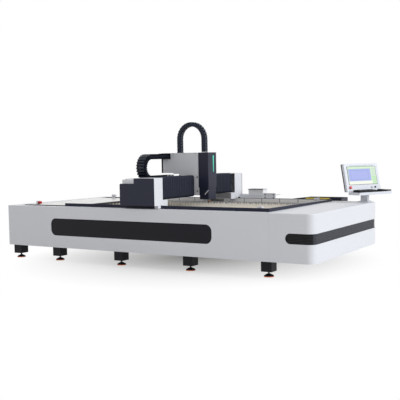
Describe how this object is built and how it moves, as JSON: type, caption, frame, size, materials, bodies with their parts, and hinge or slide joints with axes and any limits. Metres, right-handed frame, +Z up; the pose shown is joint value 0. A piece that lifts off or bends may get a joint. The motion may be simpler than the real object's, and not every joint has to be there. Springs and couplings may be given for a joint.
{
  "type": "fiber laser cutting machine",
  "caption": "Flat-bed laser cutting machine: slat table, gantry with cross carriage and cutting head, drag chains and a swivelling operator console.",
  "frame": {"origin": "centre of the whole footprint, on the floor", "axes": "+X along the bed towards the operator's end, +Y across the bed towards the drag chain's trough, +Z up"},
  "size_m": [4.9726, 2.563, 1.925],
  "materials": {
    "cover_grey": "fine powder coat, satin",
    "end_white": "fine powder coat, satin",
    "navy_black": "powder coat, satin",
    "frame_grey": "satin paint on welded steel",
    "leg_black": "satin paint",
    "band_grey": "powder coat, satin",
    "cream_deck": "satin paint",
    "bare_steel": "mill finish",
    "ground_steel": "ground",
    "machined_aluminium": "milled, satin",
    "copper_nozzle": "turned",
    "foot_rubber": "moulded",
    "red_rubber": "moulded",
    "bellows_cloth": "coated cloth, matt",
    "chain_plastic": "moulded",
    "conduit_yellow": "moulded",
    "console_white": "satin",
    "strip_green": "frosted",
    "screen_face": "satin film",
    "button_red": "gloss",
    "button_black": "gloss",
    "button_white": "gloss"
  },
  "bodies": {
    "bed": {"side_beams": "frame_grey", "cross_members": "frame_grey", "support_legs": "leg_black", "levelling_feet": "leg_black", "foot_rubbers": "foot_rubber", "front_cover": "cover_grey", "front_inset_panel": "navy_black", "rear_cover": "cover_grey", "left_end_cover": "cover_grey", "right_end_cover": "end_white", "end_band": "band_grey", "tail_deck": "cream_deck", "table_rim": "navy_black", "table_frame": "frame_grey", "support_slats": "bare_steel", "slag_pans": "bare_steel", "x_rails": "ground_steel", "buffers": "red_rubber", "chain_trough": "navy_black", "yellow_conduits": "conduit_yellow", "x_drag_chain": "chain_plastic", "console_post": "end_white"},
    "gantry": {"gantry_beam": "navy_black", "gantry_feet": "end_white", "x_bearing_blocks": "ground_steel", "end_housings": "end_white", "end_panels": "navy_black", "x_motors": "leg_black", "y_rails": "ground_steel", "y_chain_tray": "leg_black", "y_drag_chain": "chain_plastic", "bellows_near": "bellows_cloth", "bellows_far": "bellows_cloth", "x_chain_arm": "end_white"},
    "near_pinion": {"x_pinion_near": "bare_steel"},
    "far_pinion": {"x_pinion_far": "bare_steel"},
    "carriage": {"carriage_plate": "navy_black", "y_bearing_blocks": "ground_steel", "carriage_housing": "cover_grey", "z_housing": "navy_black", "light_strip": "strip_green", "y_motor": "leg_black", "z_rails": "ground_steel", "z_motor": "leg_black", "chain_bracket": "leg_black", "z_drag_chain": "chain_plastic"},
    "cross_pinion": {"y_pinion": "bare_steel"},
    "lifting_screw": {"z_screw": "ground_steel"},
    "cutting_unit": {"z_slide": "machined_aluminium", "head_shroud": "navy_black", "cutting_head": "machined_aluminium", "nozzle": "copper_nozzle"},
    "console": {"console_tray": "console_white", "monitor_housing": "console_white", "monitor_screen": "screen_face", "keyboard": "button_black", "mouse": "button_black"},
    "stop_button": {"stop_button": "button_red"},
    "push_button": {"push_button": "button_white"},
    "turn_switch": {"turn_switch": "button_black"}
  },
  "joints": [
    {"name": "x_travel", "type": "slide", "parent": "bed", "child": "gantry", "axis": [1, 0, 0], "range_m": [-1.675, 1.325], "deforming": ["x_drag_chain"]},
    {"name": "near_pinion_spin", "type": "hinge", "parent": "gantry", "child": "near_pinion", "pos_m": [-0.31929, -1.0715, 0.72], "axis": [0, 0, 1], "range_deg": [-4800, 3800]},
    {"name": "far_pinion_spin", "type": "hinge", "parent": "gantry", "child": "far_pinion", "pos_m": [-0.31929, 0.8385, 0.72], "axis": [0, 0, 1], "range_deg": [-3800, 4800]},
    {"name": "y_travel", "type": "slide", "parent": "gantry", "child": "carriage", "axis": [0, 1, 0], "range_m": [-0.75, 0.75], "deforming": ["y_drag_chain", "bellows_near", "bellows_far"]},
    {"name": "cross_pinion_spin", "type": "hinge", "parent": "carriage", "child": "cross_pinion", "pos_m": [-0.20129, -0.1165, 1.15], "axis": [0, 0, 1], "range_deg": [-2150, 2150]},
    {"name": "z_travel", "type": "slide", "parent": "carriage", "child": "cutting_unit", "axis": [0, 0, 1], "range_m": [-0.03, 0.09], "deforming": ["z_drag_chain"]},
    {"name": "screw_spin", "type": "hinge", "parent": "carriage", "child": "lifting_screw", "pos_m": [0.21371, -0.1165, 1.125], "axis": [0, 0, 1], "range_deg": [-3241, 1081]},
    {"name": "console_swivel", "type": "hinge", "parent": "bed", "child": "console", "pos_m": [2.17371, 0.9035, 0.868], "axis": [0, 0, 1], "range_deg": [-35, 45]},
    {"name": "stop_button_press", "type": "slide", "parent": "console", "child": "stop_button", "axis": [-0.8865, 0.4134, -0.2079], "range_m": [0, 0.006], "stiffness_N_per_m": 1500, "springref_m": -0.003},
    {"name": "push_button_press", "type": "slide", "parent": "console", "child": "push_button", "axis": [-0.8865, 0.4134, -0.2079], "range_m": [0, 0.003], "stiffness_N_per_m": 1200, "springref_m": -0.002},
    {"name": "turn_switch_turn", "type": "hinge", "parent": "console", "child": "turn_switch", "pos_m": [2.25398, 1.1022, 0.97112], "axis": [0.8865, -0.4134, 0.2079], "range_deg": [-90, 0]}
  ],
  "couplings": [
    {"joint": "near_pinion_spin", "follows": "x_travel", "rad_per_m": 50},
    {"joint": "far_pinion_spin", "follows": "x_travel", "rad_per_m": -50},
    {"joint": "cross_pinion_spin", "follows": "y_travel", "rad_per_m": -50},
    {"joint": "screw_spin", "follows": "z_travel", "rad_per_m": -628.32}
  ]
}
